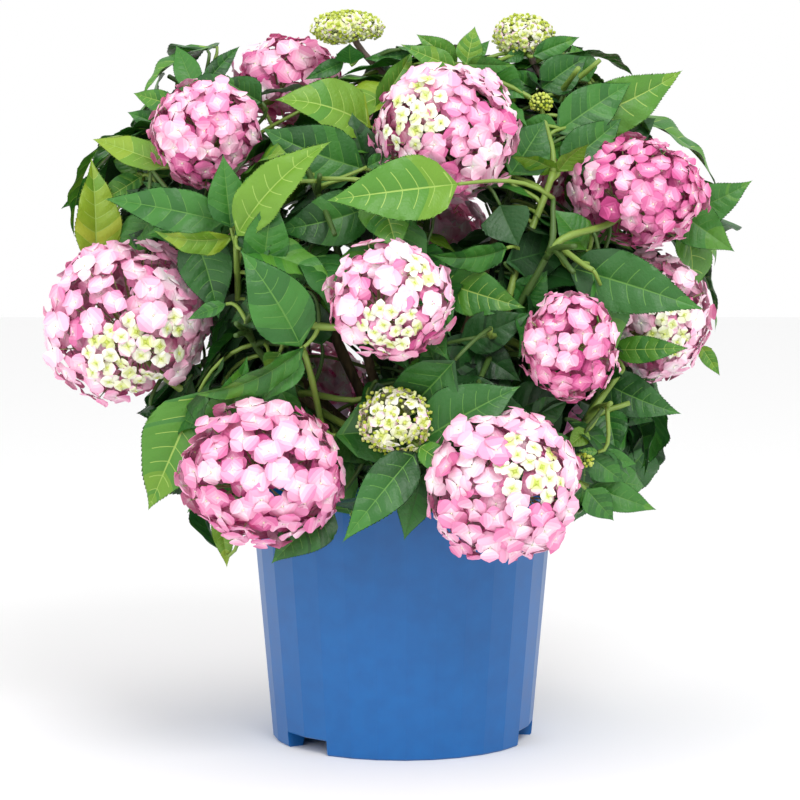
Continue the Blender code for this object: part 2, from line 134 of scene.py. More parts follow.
def tube(sheaf, pts, radii, sides, mat, lumpy=0.0, caps=True):
    """A tapering limb along pts, with rough relief if lumpy is set."""
    pts = np.asarray(pts, float)
    radii = np.broadcast_to(np.asarray(radii, float), (len(pts),))
    tang = np.gradient(pts, axis=0)
    tang /= np.maximum(np.linalg.norm(tang, axis=1, keepdims=True), 1e-12)
    side = np.cross(tang[0], (0.31, 0.77, 0.55))
    side = unit(side)
    rings = []
    for i, p in enumerate(pts):
        side = unit(side - tang[i] * (side @ tang[i]))
        up = np.cross(tang[i], side)
        a = np.arange(sides) * 2 * math.pi / sides
        r = radii[i] * (1 + lumpy * (np.sin(a * 5 + 1.3 * math.sin(i * 0.9)) * 0.5 + rng.normal(0, 0.5, sides)))
        rings.append(p + np.cos(a)[:, None] * side * r[:, None] + np.sin(a)[:, None] * up * r[:, None])
    verts = np.concatenate(rings + [pts[:1], pts[-1:]])
    faces = []
    k = np.arange(sides)
    for i in range(len(pts) - 1):
        faces.append(np.stack([i * sides + k, i * sides + (k + 1) % sides,
                               (i + 1) * sides + (k + 1) % sides, (i + 1) * sides + k], 1))
    if caps:
        n = len(pts) * sides
        last = (len(pts) - 1) * sides
        faces.append(np.stack([(k + 1) % sides, k, np.full(sides, n), np.full(sides, -1)], 1))
        faces.append(np.stack([last + k, last + (k + 1) % sides, np.full(sides, n + 1), np.full(sides, -1)], 1))
    sheaf.add(verts, np.concatenate(faces), mat)


def bezier(a, b, c, d, n):
    t = np.linspace(0, 1, n)[:, None]
    s = 1 - t
    return a * s**3 + 3 * b * s * s * t + 3 * c * s * t * t + d * t**3


# ------------------------------------------------------------------ materials
def plain(name, rgb, rough, grain, strength, specular=0.5, sheen=0.0, coat=0.0):
    """A plain base colour with a fine relief."""
    mat = bpy.data.materials.new(name)
    mat.use_nodes = True
    nt = mat.node_tree
    p = nt.nodes["Principled BSDF"]
    p.inputs["Base Color"].default_value = (*linear(rgb), 1)
    p.inputs["Roughness"].default_value = rough
    p.inputs["Specular IOR Level"].default_value = specular
    p.inputs["Sheen Weight"].default_value = sheen
    p.inputs["Coat Weight"].default_value = coat
    at = nt.nodes.new("ShaderNodeTexCoord")
    noise = nt.nodes.new("ShaderNodeTexNoise")
    noise.inputs["Scale"].default_value = grain
    noise.inputs["Detail"].default_value = 3.0
    nt.links.new(at.outputs["Object"], noise.inputs["Vector"])
    bump = nt.nodes.new("ShaderNodeBump")
    bump.inputs["Strength"].default_value = strength
    bump.inputs["Distance"].default_value = 0.001
    nt.links.new(noise.outputs["Fac"], bump.inputs["Height"])
    nt.links.new(bump.outputs["Normal"], p.inputs["Normal"])
    return mat


# Leaf greens from near black to yellow-green: the leaves' own range of green, with the darkest tones used as painted
# shade deep in the crown and the yellow-greens partly as painted light through backlit blades.
LEAF_GREENS_LIGHT_AND_SHADE = [(16, 40, 18), (24, 60, 24), (32, 80, 30), (42, 100, 34), (56, 118, 38),
              (78, 134, 38), (104, 148, 38), (132, 162, 42), (160, 176, 56)]
# Vein greens, the darker ones used as painted shade on shaded blades.
VEIN_GREENS_AND_SHADE = [(46, 88, 38), (86, 136, 56), (150, 182, 84)]
MATS = [plain(f"leaf_green_light_and_shade_{i}", c, 0.44, 420, 0.5, 0.45) for i, c in enumerate(LEAF_GREENS_LIGHT_AND_SHADE)]
VEIN = len(MATS)
MATS += [plain(f"leaf_vein_{i}", c, 0.5, 500, 0.3, 0.4) for i, c in enumerate(VEIN_GREENS_AND_SHADE)]
# Sepal pinks from near white to deep magenta: the sepals' own pinks, with the deepest also used as painted shade under
# and inside the heads.
PETAL_PINKS_AND_SHADE = [(254, 240, 244), (253, 226, 236), (250, 208, 225), (246, 188, 213), (240, 165, 198),
               (231, 138, 181), (219, 110, 162), (200, 80, 140), (172, 54, 114)]
PETAL = len(MATS)
MATS += [plain(f"petal_pink_and_shade_{i}", c, 0.62, 700, 0.25, 0.3, 0.12) for i, c in enumerate(PETAL_PINKS_AND_SHADE)]
CREAM_TONES = [(248, 246, 232), (238, 240, 206), (222, 230, 160), (196, 208, 96), (168, 184, 50)]
CREAM = len(MATS)
MATS += [plain(f"petal_cream_{i}", c, 0.6, 700, 0.25, 0.3, 0.1) for i, c in enumerate(CREAM_TONES)]
STALK = len(MATS)
MATS += [plain("stalk_green", (128, 156, 66), 0.45, 260, 0.5), plain("stalk_dark", (70, 100, 40), 0.5, 260, 0.5),
         plain("stalk_plum", (112, 92, 84), 0.5, 260, 0.5), plain("stalk_pale", (170, 186, 120), 0.5, 300, 0.4)]


def patterned(name, dark, light, scale, rough, relief, depth, stretch=(1, 1, 1)):
    """A colour that varies over the surface, with relief to match."""
    mat = bpy.data.materials.new(name)
    mat.use_nodes = True
    nt = mat.node_tree
    p = nt.nodes["Principled BSDF"]
    at = nt.nodes.new("ShaderNodeTexCoord")
    move = nt.nodes.new("ShaderNodeMapping")
    move.inputs["Scale"].default_value = stretch
    noise = nt.nodes.new("ShaderNodeTexNoise")
    noise.inputs["Scale"].default_value = scale
    noise.inputs["Detail"].default_value = 6
    ramp = nt.nodes.new("ShaderNodeValToRGB")
    ramp.color_ramp.elements[0].position = 0.3
    ramp.color_ramp.elements[1].position = 0.7
    ramp.color_ramp.elements[0].color = (*linear(dark), 1)
    ramp.color_ramp.elements[1].color = (*linear(light), 1)
    bump = nt.nodes.new("ShaderNodeBump")
    bump.inputs["Strength"].default_value = relief
    bump.inputs["Distance"].default_value = depth
    gloss = nt.nodes.new("ShaderNodeMapRange")
    gloss.inputs["To Min"].default_value = rough - 0.05
    gloss.inputs["To Max"].default_value = rough + 0.06
    nt.links.new(at.outputs["Object"], move.inputs["Vector"])
    nt.links.new(move.outputs["Vector"], noise.inputs["Vector"])
    nt.links.new(noise.outputs["Fac"], ramp.inputs["Fac"])
    nt.links.new(noise.outputs["Fac"], bump.inputs["Height"])
    nt.links.new(noise.outputs["Fac"], gloss.inputs["Value"])
    nt.links.new(ramp.outputs["Color"], p.inputs["Base Color"])
    nt.links.new(gloss.outputs["Result"], p.inputs["Roughness"])
    nt.links.new(bump.outputs["Normal"], p.inputs["Normal"])
    return mat


pot_mat = patterned("pot_plastic", (0, 88, 155), (1, 95, 164), 60, 0.36, 0.05, 0.0004)
bark_mat = patterned("cane_bark", (74, 60, 42), (128, 108, 76), 220, 0.8, 0.8, 0.0008, (1, 1, 0.25))
soil_mats = [patterned("soil_dark", (26, 19, 13), (54, 40, 28), 240, 0.9, 1.0, 0.001),
             patterned("soil_bark", (62, 44, 28), (104, 78, 52), 240, 0.85, 1.0, 0.001),
             plain("soil_grit", (206, 200, 186), 0.8, 400, 0.6)]

# ---------------------------------------------------------------- flower heads
# centre, half sizes, tone of the sepals, cream patches (px direction), floret size
HEADS = {
    "left_large": ((-.240, -.070, .379), (.073, .066, .073), 3.0, 1.0, [((0.15, -1, -.55), .60), ((.55, -.8, -.1), .22)]),
    "upper_left": ((-.170, -.070, .543), (.050, .046, .048), 4.2, 0.82, []),
    "top_left": ((-.106, .070, .592), (.053, .048, .043), 4.2, 0.85, []),
    "cap_left": ((-.049, .004, .6385), (.033, .030, .0155), 0, 0.36, "cap"),
    "top_centre": ((.037, -.096, .544), (.063, .058, .061), 3.4, 0.9, [((-.55, -1, .35), .55)]),
    "cap_right": ((.109, .020, .632), (.028, .027, .020), 0, 0.42, "cap"),
    "right_upper": ((.206, -.055, .492), (.061, .055, .050), 5.2, 0.8, []),
    "centre": ((-.010, -.215, .406), (.053, .048, .050), 3.0, 0.9, [((.0, -1, -.6), .55), ((.5, -.7, .5), .3)]),
    "right_centre": ((.140, -.185, .366), (.042, .040, .047), 4.0, 0.8, []),
    "right_rear": ((.229, .006, .380), (.050, .052, .060), 2.6, 0.85, [((.2, -1, -.1), .55)]),
    "lower_left": ((-.115, -.200, .262), (.069, .060, .060), 4.4, 0.98, []),
    "small_front": ((-.006, -.192, .304), (.032, .030, .029), 0, 0.5, "cream"),
    "lower_right": ((.083, -.212, .252), (.064, .059, .065), 3.1, 0.98, [((.45, -1, .45), .5)]),
    "back_left": ((-.185, .175, .468), (.062, .060, .058), 3.6, 0.95, [((.0, 1, .3), .4)]),
    "back_middle": ((.020, .214, .436), (.068, .057, .064), 3.0, 1.0, [((.3, 1, -.3), .5)]),
    "back_right": ((.190, .165, .500), (.060, .058, .054), 4.6, 0.9, []),
    "back_low_left": ((-.095, .212, .288), (.066, .058, .060), 3.2, 0.98, [((-.3, 1, .2), .4)]),
    "back_low_right": ((.150, .205, .300), (.060, .058, .055), 4.2, 0.9, []),
    "back_top": ((-.010, .165, .560), (.054, .052, .044), 3.8, 0.85, [((.2, .8, .6), .4)]),
    "side_left": ((-.222, .092, .372), (.052, .056, .052), 4.0, 0.85, [((-1, .2, .1), .35)]),
}
MASS_CENTRES = {
    "far_left": (-.205, -.005, .480), "top_left": (-.165, .015, .570), "top_middle": (.005, .020, .560),
    "top_right": (.135, .012, .570), "right": (.205, .060, .440), "right_front": (.125, -.110, .440),
    "middle": (-.070, -.105, .485), "left_front": (-.130, -.125, .370), "lower_left": (-.160, -.065, .290),
    "front_low": (-.020, -.145, .268), "lower_right": (.160, -.085, .295), "right_low_front": (.065, -.125, .340),
    "back_left": (-.150, .120, .390), "back_right": (.145, .135, .390), "back_top": (.030, .125, .520),
    "back_low": (.020, .170, .295), "back_low_left": (-.155, .068, .285), "back_low_right": (.165, .078, .288)}
CANES = {"top_middle": (0, 0), "top_left": (-112, 30), "middle": (-32, 30), "top_right": (78, 30), "back_top": (166, 30),
         "left_front": (-22, 64), "lower_left": (-61, 64), "far_left": (-101, 64), "back_left": (-141, 64),
         "back_low": (179, 64), "back_right": (140, 64), "right": (100, 64), "lower_right": (60, 64), "right_front": (19, 64)}


def inside_heads(points, grow=1.0):
    hit = np.zeros(len(points), bool)
    for c, r, *_ in HEADS.values():
        hit |= (((points - np.array(c)) / (np.array(r) * grow)) ** 2).sum(1) < 1
    return hit


# ------------------------------------------------------------ canes and shoots
def cane_path(name):
    azimuth, polar = (math.radians(a) for a in CANES[name])
    target = np.array(MASS_CENTRES[name])
    turned = np.array((math.sin(polar) * math.sin(azimuth), -math.sin(polar) * math.cos(azimuth), math.cos(polar)))
    reach = 1 / math.sqrt((turned[0] / .024) ** 2 + (turned[1] / .024) ** 2 + (turned[2] / .020) ** 2)
    start = np.array((0, 0, .237)) + turned * (reach - 0.002)
    flat = np.array((target[0], target[1], 0.0))
    out = unit(flat) if np.linalg.norm(flat) > 0.03 else np.zeros(3)
    span = np.linalg.norm(target - start)
    return bezier(start, start + turned * span * .36, target - unit(out * .55 + np.array((0, 0, .84))) * span * .30, target, 48)


paths = {n: cane_path(n) for n in CANES}
wood, green = Sheaf(), Sheaf()
for n, p in paths.items():
    i = np.arange(len(p))
    radii = np.interp(i, [0, 30, 47], [.0053, .0036, .0028]) * (1 + 0.14 * np.exp(-((i % 9 - 4) / 1.1) ** 2))
    tube(wood, p[:31], radii[:31], 10, 0, lumpy=0.05)
    tube(green, p[30:], radii[30:], 8, STALK + 1, lumpy=0.02)
shoot_pts, shoot_dir = [], []


def shoot(a, ta, b, tb, r0, r1, mat):
    span = np.linalg.norm(b - a)
    p = bezier(a, a + unit(ta) * span * .35, b - unit(tb) * span * .35, b, max(8, int(span / .009)))
    i = np.arange(len(p))
    r = np.linspace(r0, r1, len(p)) * (1 + 0.12 * (i % 6 == 3))
    tube(green, p, r, 7, mat)
    shoot_pts.append(p)
    shoot_dir.append(np.gradient(p, axis=0))
    return p


for p in paths.values():
    shoot_pts.append(p[16:])
    shoot_dir.append(np.gradient(p, axis=0)[16:])
PLUM = ("cap_left", "cap_right")
stem_dirs = {}
cane_all = np.concatenate([p[22:] for p in paths.values()])
cane_tan = np.concatenate([np.gradient(p, axis=0)[22:] for p in paths.values()])
for n, (c, r, *_rest) in HEADS.items():
    c, r = np.array(c), np.array(r)
    d = c - cane_all
    dist = np.linalg.norm(d, axis=1)
    cost = dist + 0.6 * np.maximum(0, cane_all[:, 2] - c[2] + 0.02) + (dist < 0.07) * 0.1
    k = int(np.argmin(cost))
    back = unit(unit(cane_all[k] - c) + np.array((0, 0, -.7)))
    stem_dirs[n] = back
    shoot(cane_all[k], cane_tan[k], c + back * r * .35, -back, .0034, .0030, STALK + (2 if n in PLUM else 0))
for n, c in MASS_CENTRES.items():
    c = np.array(c)
    for _ in range(4):
        d = unit(rng.normal(0, 1, 3) + unit(c * (1, 1, 0)) * 1.0 + np.array((0, 0, .5)))
        tip = c + d * rng.uniform(.035, .065)
        if inside_heads(tip[None], 1.1)[0]:
            continue
        k = int(np.argmin(np.linalg.norm(cane_all - c, axis=1) + rng.uniform(0, .04, len(cane_all))))
        shoot(cane_all[k], cane_tan[k], tip, d, .0032, .0022, STALK + int(rng.random() < .5))
stem = shoot(place(506, 330, -.10), np.array((0, 0, 1.0)), place(553, 172, -.075), np.array((.3, 0, 1.0)), .0034, .0031, STALK)
shoot(place(553, 174, -.075), np.array((.1, 0, 1.0)), place(541, 106, -.05), np.array((-.2, 0, 1.0)), .0029, .0022, STALK)
shoot(place(330, 470, -.12), np.array((-.2, 0, 1.0)), place(303, 348, -.17), np.array((-.3, 0, 1.0)), .0030, .0026, STALK)
shoot(place(238, 300, -.08), np.array((0, 0, 1.0)), place(236, 236, -.13), np.array((0, 0, 1.0)), .0030, .0026, STALK)
shoot_pts = np.concatenate(shoot_pts)
shoot_dir = np.concatenate(shoot_dir)

# ---------------------------------------------------------------------- leaves
VEINS = 8


def leaf_grid(detail):
    """Rows and columns of a blade: along the side veins and across them."""
    at = 0.05 + 0.86 * (np.arange(VEINS) / (VEINS - 1)) ** 0.92
    half = 0.0034
    rows, kind = [], []
    inner = (0.36, 0.68) if detail else (0.5,)
    for k in range(VEINS):
        rows += [at[k] - half, at[k] + half]
        kind += [1, 0]
        if k < VEINS - 1:
            for f in inner:
                rows.append(at[k] + (at[k + 1] - at[k]) * f)
                kind.append(0)
    rows += [0.95, 0.975]
    kind += [0, 0]
    cols = np.array((0.028, .2, .42, .64, .84, 1.0) if detail else (0.03, .34, .68, 1.0))
    return np.array(rows), np.array(kind), cols, at


GRIDS = {d: leaf_grid(d) for d in (0, 1)}


def outline(s):
    s = np.clip(s, 0, 1)
    m = 0.37
    low = np.maximum(1 - (1 - s / m) ** 2, 0) ** 0.70
    u = np.clip((s - m) / (1 - m), 0, 1)
    high = (1 - u) ** 1.55 * (1 + 1.55 * u)
    return np.where(s < m, low, high)


def make_leaf(sheaf, base, tip, normal, ratio, arch, fold, tone, lean=0.0, wave=1.0, detail=1, shade_drift=0.0):
    """A serrated, quilted blade from base to tip, its upper face towards normal."""
    rows, kind, cols, at = GRIDS[detail]
    n, k = len(rows), len(cols)
    steps = 40
    s = np.linspace(0, 1, steps + 1)
    pitch = -arch * (s ** 1.3 - 0.35)
    yaw = lean * (s - 0.4)
    tang = np.stack([np.sin(yaw), np.cos(yaw) * np.cos(pitch), np.sin(pitch)], 1)
    curve = np.concatenate([np.zeros((1, 3)), np.cumsum((tang[1:] + tang[:-1]) / 2 / steps, 0)])
    nrm = np.stack([np.zeros(steps + 1), -np.sin(pitch), np.cos(pitch)], 1)
    chord = curve[-1]
    c = unit(chord)
    nc = unit(nrm[steps // 3] - c * (nrm[steps // 3] @ c))
    goal = tip - base
    length = np.linalg.norm(goal)
    d = goal / length
    nt = unit(normal - d * (normal @ d))
    turn = np.stack([d, nt, np.cross(d, nt)], 1) @ np.stack([c, nc, np.cross(c, nc)], 1).T
    scale = length / np.linalg.norm(chord)
    wide = ratio * scale / 2
    tt = np.concatenate([-cols[::-1], [0.0], cols])
    v = rows[:, None]
    t = np.abs(tt)[None, :]
    adv = 0.20 * (ratio / 0.5) * np.clip(v / 0.10, 0, 1) ** 0.8 * (1 - v) ** 0.75
    ss = v + adv * t ** 1.25
    x = tt[None, :] * outline(ss) * wide
    gap = np.interp(rows, at, np.arange(VEINS), left=-.5, right=VEINS - .5)
    puff = np.abs(np.sin(np.pi * gap))[:, None] ** 0.8
    quilt = 0.013 * scale * puff * np.clip(t * 5, 0, 1) * (1 - t ** 3) * np.clip(outline(ss) * 1.5, 0, 1)
    phase = rng.uniform(0, 6.28)
    ripple = wave * 0.020 * scale * t ** 2.2 * np.sin(ss * 19 + phase + (tt[None, :] > 0) * 1.7) * np.clip(outline(ss) * 1.6, 0, 1)
    ax = np.abs(x)
    z = ax * math.sin(fold) - 0.55 * fold * ax ** 2 / max(wide, 1e-6) * 0.6 + quilt + ripple
    xx = x * math.cos(fold)
    pos = ss * steps
    i0 = np.clip(pos.astype(int), 0, steps - 1)
    fr = (pos - i0)[..., None]
    cen = (curve[i0] * (1 - fr) + curve[i0 + 1] * fr) * scale
    nn = nrm[i0] * (1 - fr) + nrm[i0 + 1] * fr
    tg = tang[i0] * (1 - fr) + tang[i0 + 1] * fr
    bb = np.cross(tg, nn)
    pts = (cen + bb * xx[..., None] + nn * z[..., None]) @ turn.T + base
    m = 2 * k + 1
    verts = pts.reshape(-1, 3)
    tipv, basev = np.array(tip), np.array(base)
    extra = [basev, tipv]
    ib, it = len(verts), len(verts) + 1
    faces, mats = [], []
    noise = rng.normal(0, 0.35, VEINS + 2)
    # The vein green follows the blade's tone, so it darkens with the blade's painted shade.
    vein = VEIN + int(np.clip(round((tone - 1.2) / 2.2), 0, 2))

    def tone_of(row, share):
        g = int(np.clip(gap[row] + 1, 0, VEINS + 1))
        # drift shifts the tone along the blade: painted shade at one end, painted light at the other.
        return int(np.clip(round(tone + shade_drift * (share - 0.5) + noise[g]), 0, len(LEAF_GREENS_LIGHT_AND_SHADE) - 1))
    for r in range(n - 1):
        for q in range(m - 1):
            a = r * m + q
            faces.append((a, a + 1, a + m + 1, a + m))
            mid = q in (k - 1, k)
            mats.append(vein if (mid or (kind[r] and cols[max(abs(q - k + 0.5) - .5, 0).__int__()] < .8)) else tone_of(r, rows[r]))
    for q in range(m - 1):
        faces.append((ib, q + 1, q, -1))
        mats.append(vein if q in (k - 1, k) else tone_of(0, 0))
        a = (n - 1) * m + q
        faces.append((a, a + 1, it, -1))
        mats.append(tone_of(n - 1, 1))
    j = len(verts) + 2
    for q, inner in ((0, 1), (m - 1, m - 2)):
        for r in range(n - 2):
            if kind[r]:
                continue
            p0, p1 = pts[r, q], pts[r + 1, q]
            seg = np.linalg.norm(p1 - p0)
            away = unit(p0 - pts[r, inner])
            parts = 2 if (detail and seg > 0.0042) else 1
            if parts == 1:
                extra.append(p0 + (p1 - p0) * .8 + away * min(seg * .34, .0014))
                faces.append((r * m + q, (r + 1) * m + q, j, -1) if q else ((r + 1) * m + q, r * m + q, j, -1))
                mats.append(tone_of(r, rows[r]))
                j += 1
            else:
                midp = (p0 + p1) / 2
                extra += [midp, p0 + (p1 - p0) * .42 + away * .0013, p0 + (p1 - p0) * .92 + away * .0013]
                a, b = r * m + q, (r + 1) * m + q
                if q:
                    faces += [(a, j, j + 1, -1), (j, b, j + 2, -1)]
                else:
                    faces += [(j, a, j + 1, -1), (b, j, j + 2, -1)]
                mats += [tone_of(r, rows[r])] * 2
                j += 3
    sheaf.add(np.concatenate([verts, np.array(extra)]), np.array(faces), np.array(mats))
    return pts, (pts[0, k] - pts[2, k])


def samples_of(base, tip, normal, ratio):
    d = tip - base
    side = np.cross(unit(d), unit(normal)) * np.linalg.norm(d) * ratio / 2
    out = []
    for s, w in ((0, 0), (.2, .7), (.4, .95), (.6, .75), (.8, .35), (1, 0)):
        for q in ((-1, 0, 1) if w else (0,)):
            out.append(base + d * s + side * w * q)
    return np.array(out)


def petiole(base, back, thick=.0015, tone=0):
    """A stalk from the blade's foot back to the nearest shoot."""
    back = unit(back)
    v = shoot_pts - base
    dist = np.linalg.norm(v, axis=1)
    along = (v @ back) / np.maximum(dist, 1e-6)
    cost = dist * (1.5 - .7 * along) + (dist < .012) * .05
    k = int(np.argmin(cost))
    a = shoot_pts[k]
    span = dist[k]
    p = bezier(a, a + unit(unit(base - a) + unit(shoot_dir[k]) * .5) * span * .35, base + back * span * .35, base, 7)
    tube(green, p, np.linspace(thick * 1.35, thick, 7), 5, STALK + tone)


# px and depth of the foot and tip, width in px, roll, arch, fold, tone, drift. Tone is the leaf's own green with
# painted shade and painted light in it, and drift is a painted shift from shade to light along the blade.
HERO = [
    (96, 268, -.03, 91, 157, -.03, 46, 24, .5, .40, 6.8, 0), (170, 166, -.06, 92, 139, -.03, 30, 20, .4, .35, 6.4, 1.5),
    (137, 173, .0, 109, 146, .0, 20, 0, .3, .3, 4.5, 0), (142, 176, -.02, 93, 206, -.02, 24, 10, 1.0, .3, 5.2, 2.0),
    (229, 223, -.115, 104, 199, -.10, 42, 10, .7, .25, 3.8, 1.2), (234, 237, -.125, 153, 230, -.13, 24, -40, .9, .5, 6.2, 0),
    (193, 231, -.09, 219, 320, -.10, 52, 0, .5, .25, 2.8, .8), (226, 304, -.12, 187, 320, -.12, 15, 20, .4, .3, 3.6, 0),
    (231, 228, -.13, 223, 154, -.14, 40, 0, .5, .3, 3.6, .6), (195, 215, -.03, 125, 190, -.03, 32, 0, .5, .3, 1.4, 0),
    (172, 197, -.04, 141, 181, -.04, 13, 0, .3, .3, 3.4, 0), (160, 247, -.03, 128, 234, -.03, 26, 0, .4, .2, 1.6, 0),
    (114, 254, .0, 98, 237, .0, 15, 0, .3, .3, 4.2, 0), (95, 262, .02, 70, 271, .02, 16, 0, .3, .3, 3.2, 0),
    (196, 92, -.02, 176, 45, .0, 26, 0, .5, .3, 4.4, 0), (203, 86, .0, 240, 46, .02, 18, 0, .4, .3, 2.8, 0),
    (178, 106, -.01, 133, 93, .0, 22, 0, .5, .3, 4.6, 0), (163, 127, .0, 127, 112, .0, 20, 0, .4, .3, 3.2, 0),
    (262, 103, -.04, 222, 78, -.04, 34, 0, .9, .3, 2.8, .6), (344, 62, .01, 304, 80, .0, 16, 10, .5, .3, 2.6, 0),
    (351, 64, .0, 350, 43, -.01, 28, 0, .3, .2, 3.0, 0), (414, 54, .01, 363, 59, .0, 15, 20, -.5, .3, 3.2, 0),
    (371, 127, -.07, 274, 100, -.10, 52, 30, .8, .35, 5.6, -1.0), (376, 108, -.06, 412, 51, -.04, 30, 30, .6, .4, 5.0, 0),
    (378, 90, .02, 386, 60, .03, 26, 0, .3, .2, 2.0, 0), (364, 169, -.10, 262, 128, -.10, 58, 0, .8, .2, 3.0, -.6),
    (237, 236, -.14, 332, 141, -.16, 44, -20, 1.1, .4, 6.0, 0), (264, 270, -.15, 275, 195, -.16, 44, 0, .5, .25, 3.8, 0),
    (301, 347, -.185, 240, 250, -.20, 60, 0, .6, .22, 3.5, 0), (372, 206, -.12, 274, 230, -.13, 52, 0, .7, .25, 2.8, -.6),
    (458, 184, -.16, 325, 201, -.19, 62, 10, .7, .28, 5.4, -1.2), (376, 190, -.15, 398, 256, -.18, 52, 0, .6, .25, 4.6, 1.0),
    (367, 168, -.09, 352, 112, -.09, 38, 0, .4, .3, 2.2, 0), (367, 167, -.11, 393, 155, -.11, 17, 0, .3, .3, 3.0, 0),
    (322, 345, -.10, 307, 288, -.12, 30, 0, .4, .3, 2.0, 0), (304, 347, -.185, 189, 394, -.20, 26, -45, 1.0, .5, 4.0, .8),
    (280, 352, -.15, 266, 378, -.16, 26, 0, .4, .3, 6.0, 1.0), (301, 355, -.17, 262, 403, -.18, 32, 10, .7, .35, 4.2, 0),
    (199, 392, -.11, 148, 511, -.10, 66, 15, .6, .25, 5.0, 2.0), (222, 385, -.10, 203, 436, -.10, 32, 10, .5, .3, 3.0, 0),
    (219, 510, -.12, 227, 568, -.13, 22, 0, .4, .3, 6.4, 0), (332, 503, -.17, 271, 564, -.195, 52, 0, .7, .25, 2.8, 2.0),
    (416, 452, -.20, 342, 543, -.235, 46, 0, .7, .25, 3.0, 3.0), (429, 456, -.18, 404, 541, -.20, 48, 0, .5, .25, 2.2, .5),
    (420, 441, -.19, 521, 386, -.19, 62, -10, .7, .25, 3.0, .8), (418, 446, -.20, 466, 482, -.225, 26, 0, .4, .3, 4.6, 1.5),
    (568, 267, -.12, 705, 310, -.155, 58, 0, .6, .22, 3.2, 1.2), (611, 350, -.05, 690, 348, -.07, 27, 0, .5, .3, 4.8, 1.0),
    (596, 378, -.05, 682, 414, -.07, 42, 0, .5, .25, 2.6, 2.4), (700, 345, .03, 720, 376, .03, 15, 0, .4, .3, 5.0, 0),
    (670, 206, -.01, 735, 252, -.02, 44, 0, .5, .25, 4.0, 1.2), (672, 216, .01, 753, 180, .0, 40, 10, .5, .3, 4.2, 1.4),
    (586, 250, -.08, 553, 209, -.08, 34, 30, .4, .3, 4.4, 0), (507, 248, -.115, 428, 254, -.14, 26, -30, 1.1, .4, 3.8, 0),
    (442, 282, -.11, 526, 308, -.13, 46, 0, .5, .25, 4.6, .8), (500, 205, -.10, 519, 247, -.11, 50, 0, .5, .3, 2.2, 0),
    (521, 304, -.09, 548, 270, -.10, 36, 0, .4, .3, 3.0, 0), (460, 342, -.12, 532, 312, -.13, 40, 0, .5, .25, 2.0, .8),
    (465, 345, -.11, 522, 382, -.13, 40, 0, .5, .25, 1.8, .8), (558, 172, -.07, 511, 157, -.10, 17, -50, -.6, .4, 5.8, 0),
    (558, 172, -.07, 589, 144, -.09, 20, 50, -.6, .4, 5.8, 0), (457, 66, -.04, 416, 34, -.04, 26, 0, .4, .3, 5.0, 0),
    (457, 67, -.05, 400, 44, -.06, 22, 20, .4, .3, 5.4, 0), (466, 66, -.05, 475, 26, -.05, 26, 0, .3, .3, 5.4, 0),
    (468, 63, -.03, 490, 40, -.03, 15, 0, .3, .3, 4.2, 0), (467, 64, -.05, 516, 65, -.06, 18, 20, .5, .3, 4.2, 0),
    (524, 52, .01, 501, 62, .0, 14, 0, .3, .3, 3.0, 0), (533, 56, .0, 580, 37, .01, 20, 10, .4, .3, 4.0, .8),
    (540, 90, .0, 588, 56, .01, 38, 0, .6, .3, 2.6, 0), (492, 76, -.03, 525, 99, -.05, 38, 0, .6, .3, 3.6, .5),
    (536, 92, -.01, 507, 71, -.01, 26, 0, .6, .3, 3.2, 0), (560, 130, -.05, 511, 128, -.05, 32, 0, .5, .3, 4.0, 0),
    (560, 128, -.03, 683, 70, .0, 52, 10, .6, .25, 5.0, 2.2), (556, 133, -.05, 632, 82, -.03, 46, 0, .5, .25, 3.4, .8),
    (589, 82, .02, 572, 44, .03, 30, 10, .5, .3, 4.2, 0), (600, 145, -.02, 656, 118, .0, 42, 0, .5, .3, 2.0, 0),
    (560, 170, -.06, 622, 118, -.04, 44, 0, .5, .3, 3.0, 0), (510, 175, -.07, 545, 120, -.06, 52, 0, .5, .3, 3.4, 0),
    (589, 486, -.11, 657, 510, -.11, 30, 0, .5, .25, 4.0, 1.0), (586, 489, -.12, 614, 521, -.12, 30, 0, .4, .25, 3.6, 0),
    (598, 455, -.11, 637, 464, -.10, 20, 0, .4, .3, 4.0, .5), (590, 456, -.12, 624, 482, -.12, 32, 0, .4, .3, 3.2, 0),
    (606, 408, -.08, 616, 456, -.10, 34, 0, .4, .3, 2.8, 0), (600, 405, -.05, 656, 422, -.05, 30, 0, .4, .3, 2.4, 0),
    (588, 430, -.12, 567, 448, -.13, 20, 0, .3, .3, 5.8, 0), (530, 418, -.16, 569, 400, -.15, 28, 0, .4, .3, 2.0, 0),
    (598, 452, -.13, 578, 450, -.13, 8, 0, .3, .3, 4.6, 0),
]

CELL = 8
grid = np.full((100, 100), 9.0)


def mark(points):
    px, py, d = see(points)
    i = np.clip((py / CELL).astype(int), 0, 99)
    j = np.clip((px / CELL).astype(int), 0, 99)
    np.minimum.at(grid, (i, j), d)


leaf_sheaves = {n: Sheaf() for n in MASS_CENTRES}
names = list(MASS_CENTRES)
centres = np.array([MASS_CENTRES[n] for n in names])


def sheaf_for(point):
    return leaf_sheaves[names[int(np.argmin(np.linalg.norm(centres - point, axis=1)))]]


